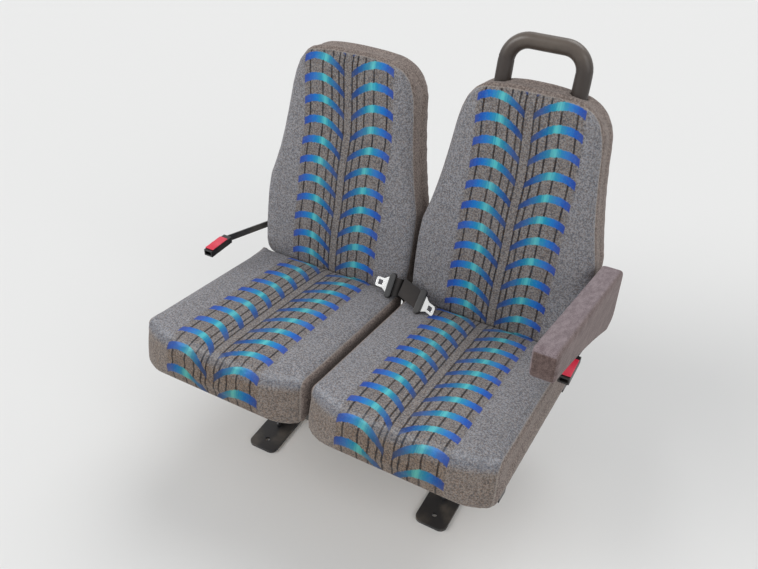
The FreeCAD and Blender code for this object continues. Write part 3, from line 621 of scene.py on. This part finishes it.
DUST = ink(150, 140, 126)
marked, into, out = effect(
    "marked_surface",
    (("Place", "NodeSocketVector", None), ("Colour", "NodeSocketColor", (0.5, 0.5, 0.5, 1)),
     ("Dust", "NodeSocketColor", (0.3, 0.28, 0.25, 1)), ("Amount", "NodeSocketFloat", 0.2)),
    (("Color", "NodeSocketColor"), ("Grain", "NodeSocketFloat")),
)
cloud = speckle(marked, into.outputs["Place"], 18, 4.0)
grain = speckle(marked, into.outputs["Place"], 1100, 2.0)
share = sum_of(marked, "MULTIPLY", ease(marked, cloud, 0.40, 0.75), into.outputs["Amount"])
marked.links.new(blended(marked, share, into.outputs["Colour"], into.outputs["Dust"]), out.inputs["Color"])
marked.links.new(grain, out.inputs["Grain"])


def hard_finish(name, colour, dust, roughness, amount=0.2, metallic=0.0, texture=0.0002):
    made, tree, surface = finish_named(name, colour, roughness, metallic)
    group = tree.nodes.new("ShaderNodeGroup")
    group.node_tree = marked
    tree.links.new(tree.nodes.new("ShaderNodeTexCoord").outputs["Object"], group.inputs["Place"])
    group.inputs["Colour"].default_value = colour
    group.inputs["Dust"].default_value = dust
    group.inputs["Amount"].default_value = amount
    tree.links.new(group.outputs["Color"], surface.inputs["Base Color"])
    roughened(tree, surface, group.outputs["Grain"], 0.4, texture)
    return made


back_velour = velour("back_velour", pitch=0.0524, start=0.560, crest=0.078, tail=0.036, droop=0.013, half=0.0094)
panel_plastic = hard_finish("panel_plastic", ink(84, 84, 88), DUST, 0.62, 0.07, texture=0.0004)
other_half = [(-across, along) for across, along in reversed(BACK_HALF_OUTLINE[:-1])]
rim = np.array([*BACK_HALF_OUTLINE] + other_half)
for side_name, middle in (("window", -SEAT_MIDDLE), ("aisle", SEAT_MIDDLE)):
    backrest = foam_block(f"backrest_{side_name}", f"back_cover_{side_name}", SKIN_GRAIN, 9)
    spots = places(backrest.data)
    along, deep = back_place(spots)
    across = spots[:, 0] - middle
    inward, way = from_rim(np.stack([across, along], 1), rim)
    radius = BACK_LOW_ROUND + (BACK_ROUND - BACK_LOW_ROUND) * np.clip((along - ROUND_START) / ROUND_RISE, 0, 1)
    radius = BACK_TOP_ROUND + (radius - BACK_TOP_ROUND) * way[:, 0] ** 2
    move_in, move_deep = round_over(inward, np.maximum(deep + BACK_CROWN, 0), radius, BACK_ROUND_FADE)
    move_to(backrest.data, spots + back_step(way[:, 0] * move_in, way[:, 1] * move_in, move_deep))
    evened(backrest, 4)
    spots = places(backrest.data)
    along, deep = back_place(spots)
    across = spots[:, 0] - middle
    inward, way = from_rim(np.stack([across, along], 1), rim)
    at_top = np.clip(-way[:, 1], 0, 1) ** 2 * (along > TOP_START)
    side = (deep - SIDE_SEAM_DEEP) * (1 - at_top) + (TOP_SEAM_IN - inward) * at_top
    side = np.maximum(side, deep - REAR_SEAM_DEEP)
    stretch_cover(backrest, np.clip((deep - TUCKED_DEEP) / HOLD_FADE, 0, 1), COVER_CAP)
    stray = np.interp(along, STRAY_AT, BACK_STRAY[side_name])
    map_cloth(backrest, np.stack([across - stray, along - BACK_SKEW * across], 1), side, 0 * side)
    finer(backrest)
    draw_seam(backrest, SEAM_DEPTH, SEAM_WIDTH)
    fitted(backrest, "frame", back_velour, "seat_fabric", f"backrest_{side_name}")
    eased(f"back_panel_{side_name}", f"rear_panel_{side_name}", 0.002, panel_plastic, "panel_plastic", 3)


# The armrest: a foam pad in plain pinkish-grey velour over a steel arm, which folds up on a plastic hub and a pin.
# Its top is lighter than its outer flank, both streaked with the nap, and its front-facing end is darker.
# The pin stands on a zinc-plated plate at the side of the aisle back.
ARM_MIDDLE = 0.4855
FLANK_START, FLANK_END = 0.014, 0.023
ARM_SWELL = 0.0014
armrest = foam_block("armrest_pad", "armrest_cover", 0.003, 22)
armrest_velour, tree, surface = finish_named("armrest_velour", ink(150, 130, 132), 0.95)
surface.inputs["Sheen Weight"].default_value = 0.1
surface.inputs["Specular IOR Level"].default_value = 0.15
place = tree.nodes.new("ShaderNodeTexCoord").outputs["Object"]
parts = tree.nodes.new("ShaderNodeSeparateXYZ")
tree.links.new(place, parts.inputs[0])
flecks = sum_of(tree, "MULTIPLY", speckle(tree, place, 620, 2.0), 0.6)
streaks = sum_of(tree, "MULTIPLY", speckle(tree, place, 120, 2.0, (1, 0.2, 1)), 0.4)
nap = sum_of(tree, "ADD", flecks, streaks)
top_nap = blended(tree, ease(tree, nap, 0.38, 0.62), ink(110, 97, 100), ink(142, 129, 132))
side_nap = blended(tree, ease(tree, nap, 0.38, 0.62), ink(94, 80, 78), ink(126, 111, 109))
flank = ease(tree, parts.outputs[0], ARM_MIDDLE + FLANK_START, ARM_MIDDLE + FLANK_END)
coat = blended(tree, flank, top_nap, side_nap)
facing_front = tree.nodes.new("ShaderNodeAttribute")
facing_front.attribute_name = "facing_front"
# The end that faces the front is darker.
front_tone = blended(tree, ease(tree, nap, 0.38, 0.62), ink(76, 61, 57), ink(108, 90, 85))
coat = blended(tree, ease(tree, facing_front.outputs["Fac"], 0.80, 0.93, 0.0, 0.9), coat, front_tone)
tree.links.new(coat, surface.inputs["Base Color"])
roughened(tree, surface, nap, 0.5, PILE)
move_to(armrest.data, places(armrest.data) + facing(armrest.data) * ARM_SWELL)
finer(armrest)
to_front = armrest.data.attributes.new("facing_front", "FLOAT", "POINT")
to_front.data.foreach_set("value", (-facing(armrest.data)[:, 1]).astype(np.float32))
fitted(armrest, "armrest", armrest_velour, "seat_fabric", "armrest_pad")
zinc_plate = hard_finish("zinc_plate", ink(168, 170, 168), ink(110, 104, 96), 0.38, 0.3, 1.0)
black_plastic = hard_finish("black_plastic", ink(20, 20, 22), DUST, 0.40, 0.08)
eased("armrest_hub", "armrest_bush", 0.0006, black_plastic, "black_plastic", body="armrest")
eased("armrest_pivot", "pivot_plate", 0.0006, zinc_plate, "plated_steel")


# The grab handle: one moulded loop in brown plastic, thicker at its legs, which stand in the top of the aisle back.
# Hands have polished the loop smoother along its top, and its colour is painted lighter there as a painted highlight
# and darker below as painted shade. A zinc-plated screw holds each leg low at the front.
HANDLE_DEEP = 0.045
HANDLE_ROOT, HANDLE_TOP = 0.539, 0.674
HANDLE_HALF, HANDLE_BEND = 0.0895, 0.050
LEG_THICK, LOOP_THICK = 0.0190, 0.0183
THINNING_START, THINNING_LENGTH = 0.075, 0.06
POLISH_AND_LIGHT_LOW, POLISH_AND_LIGHT_HIGH = 0.985, 1.050


def swept(name, stations, sides):
    """A round bar through stations: centre, direction, and radius."""
    shell = bmesh.new()
    ring = bmesh.ops.create_circle(shell, segments=sides, radius=1.0, cap_ends=True)["verts"]
    edges = [edge for edge in shell.edges]
    last = Matrix.Identity(4)
    for number, (centre, direction, radius) in enumerate(stations):
        turn = Vector(direction).to_track_quat("Z", "X").to_matrix().to_4x4()
        here = Matrix.Translation(centre) @ turn @ Matrix.Diagonal((radius, radius, 1, 1))
        if number:
            grown = bmesh.ops.extrude_edge_only(shell, edges=edges)["geom"]
            ring = [part for part in grown if isinstance(part, bmesh.types.BMVert)]
            edges = [part for part in grown if isinstance(part, bmesh.types.BMEdge)]
        bmesh.ops.transform(shell, matrix=here @ last.inverted(), verts=ring)
        last = here
    bmesh.ops.holes_fill(shell, edges=edges, sides=0)
    bmesh.ops.remove_doubles(shell, verts=shell.verts, dist=0.000001)
    bmesh.ops.recalc_face_normals(shell, faces=shell.faces)
    thing = placed(bpy.data.objects.new(name, bpy.data.meshes.new(name)))
    shell.to_mesh(thing.data)
    shell.free()
    thing.data.shade_smooth()
    return thing


def handle_stations():
    straight = HANDLE_TOP - HANDLE_BEND - HANDLE_ROOT
    course = [(-HANDLE_HALF, HANDLE_ROOT + straight * step / 8, 90.0) for step in range(8)]
    for step in range(13):
        turn = 180 - 90 * step / 12
        course.append((HANDLE_BEND - HANDLE_HALF + HANDLE_BEND * math.cos(math.radians(turn)),
                       HANDLE_TOP - HANDLE_BEND + HANDLE_BEND * math.sin(math.radians(turn)), turn - 90))
    course += [(-across, along, -turn) for across, along, turn in reversed(course)]
    stations = []
    for across, along, turn in course:
        share = min(max((along - HANDLE_TOP + THINNING_START) / THINNING_LENGTH, 0), 1)
        radius = LEG_THICK + (LOOP_THICK - LEG_THICK) * share * share * (3 - 2 * share)
        centre = back_step(np.array([SEAT_MIDDLE + across]), np.array([along]), np.array([HANDLE_DEEP]))[0]
        up = math.sin(math.radians(turn))
        way = (math.cos(math.radians(turn)), up * math.sin(BACK_LEAN), up * math.cos(BACK_LEAN))
        stations.append(((centre[0], centre[1] + CREASE_Y, centre[2] + CREASE_Z), way, radius))
    return stations


handle_brown, tree, surface = finish_named("handle_brown", ink(96, 84, 76), 0.42)
place = tree.nodes.new("ShaderNodeTexCoord").outputs["Object"]
parts = tree.nodes.new("ShaderNodeSeparateXYZ")
tree.links.new(place, parts.inputs[0])
uneven = sum_of(tree, "MULTIPLY", sum_of(tree, "SUBTRACT", speckle(tree, place, 60, 4.0), 0.5), 0.5)
# The brown is painted lighter towards the top as a painted highlight and darker below as painted shade; the top is
# also smoother.
wear_and_highlight = sum_of(tree, "ADD", ease(tree, parts.outputs[2], POLISH_AND_LIGHT_LOW, POLISH_AND_LIGHT_HIGH, 0.0, 0.7), uneven)
browns = blended(tree, ease(tree, wear_and_highlight, 0.0, 1.0), ink(52, 44, 39), ink(94, 84, 75))
tree.links.new(browns, surface.inputs["Base Color"])
tree.links.new(ease(tree, wear_and_highlight, 0.0, 1.0, 0.44, 0.28), surface.inputs["Roughness"])
roughened(tree, surface, speckle(tree, place, 900, 2.0), 0.25, 0.0003)
handle = swept("handle_loop", handle_stations(), 32)
fitted(handle, "frame", handle_brown, "handle_brown", "grab_handle")
eased("handle_screws", "screw_heads", 0.0006, zinc_plate, "plated_steel")


# The seat frame and its pedestals: welded square tube and plate under the cushions and up into the backs, painted
# black. Four bolts hold its two foot plates to the floor, and plastic caps close the ends of the rails.
frame_paint = hard_finish("frame_paint", ink(40, 40, 42), DUST, 0.42, 0.22)


def give_finish(material, *starts):
    """Leaves the solids whose names start like this as they are, and gives them their material."""
    for name, thing in nodes.items():
        if name.startswith(starts):
            thing.data.materials.clear()
            thing.data.materials.append(material)


for side_name in ("window", "aisle"):
    for place_name in ("left", "right"):
        eased(f"upright_{side_name}_{place_name}", f"upright_tube_{side_name}_{place_name}", 0.0009,
              frame_paint, "frame_paint")
    eased(f"cross_rail_{side_name}", f"cross_tube_{side_name}", 0.0009, frame_paint, "frame_paint")
    eased(f"pedestal_post_{side_name}", f"post_tube_{side_name}", 0.0009, frame_paint, "frame_paint")
    eased(f"foot_plate_{side_name}", f"floor_plate_{side_name}", 0.001, frame_paint, "frame_paint")
    eased(f"pedestal_gussets_{side_name}", f"gusset_plates_{side_name}", 0.0008, frame_paint, "frame_paint")
eased("cross_rail_middle", "cross_tube_middle", 0.0009, frame_paint, "frame_paint")
eased("front_rail", "front_tube", 0.0009, frame_paint, "frame_paint")
eased("rear_rail", "rear_tube", 0.0009, frame_paint, "frame_paint")
eased("rail_end_caps", "tube_caps", 0.0008, black_plastic, "black_plastic")
give_finish(frame_paint, "pedestal_brace")


# The lap belts: dark woven webbing that a reel on the frame takes up, between the two backs. Each ends in a
# chromed steel tongue with a black plastic grip, which is moulded over the webbing's end.
belt_webbing = hard_finish("belt_webbing", ink(40, 37, 36), ink(80, 72, 66), 0.85, 0.3, texture=0.0006)
tongue_chrome = hard_finish("tongue_chrome", ink(226, 226, 224), ink(170, 168, 164), 0.14, 0.2, 1.0, 0.00002)


def moulded(node, name, grain, rounds, material, slot):
    """A plastic shell with every edge rounded, made from a solid's shape."""
    thing = foam_block(node, name, grain, rounds)
    thing.data.shade_smooth()
    fitted(thing, "frame", material, slot, node)
    return thing


for side_name in ("window", "aisle"):
    eased(f"reel_bracket_{side_name}", f"reel_angle_{side_name}", 0.0006, frame_paint, "frame_paint")
    eased(f"belt_reel_{side_name}", f"reel_case_{side_name}", 0.0015, black_plastic, "black_plastic")
    moulded(f"tongue_grip_{side_name}", f"tongue_shell_{side_name}", 0.001, 7, black_plastic, "black_plastic")
    eased(f"tongue_blade_{side_name}", f"tongue_plate_{side_name}", 0.0007, tongue_chrome, "tongue_chrome")
give_finish(belt_webbing, "webbing")


# The buckles: a black moulded case with a red press button on its top, on a painted steel strap beside each cushion.
# A zinc-plated bolt holds the strap to the foot of the back. The button stands a little proud of its case.
BUTTON_WIDEN, BUTTON_LIFT = 1.62, 0.0012
button_red = hard_finish("button_red", ink(214, 38, 66), ink(232, 96, 110), 0.34, 0.5)
for side_name in ("window", "aisle"):
    moulded(f"buckle_{side_name}", f"buckle_case_{side_name}", 0.001, 5, black_plastic, "black_plastic")
    button = moulded(f"buckle_button_{side_name}", f"buckle_press_{side_name}", 0.0008, 8, button_red, "button_red")
    spots = places(button.data)
    middle = spots[:, 0].mean()
    spots[:, 0] = middle + (spots[:, 0] - middle) * BUTTON_WIDEN
    spots[:, 2] += BUTTON_LIFT
    move_to(button.data, spots)
    eased(f"buckle_strap_{side_name}", f"buckle_stay_{side_name}", 0.0008, frame_paint, "frame_paint")
    eased(f"buckle_bolt_{side_name}", f"stay_bolt_{side_name}", 0.0006, zinc_plate, "plated_steel")
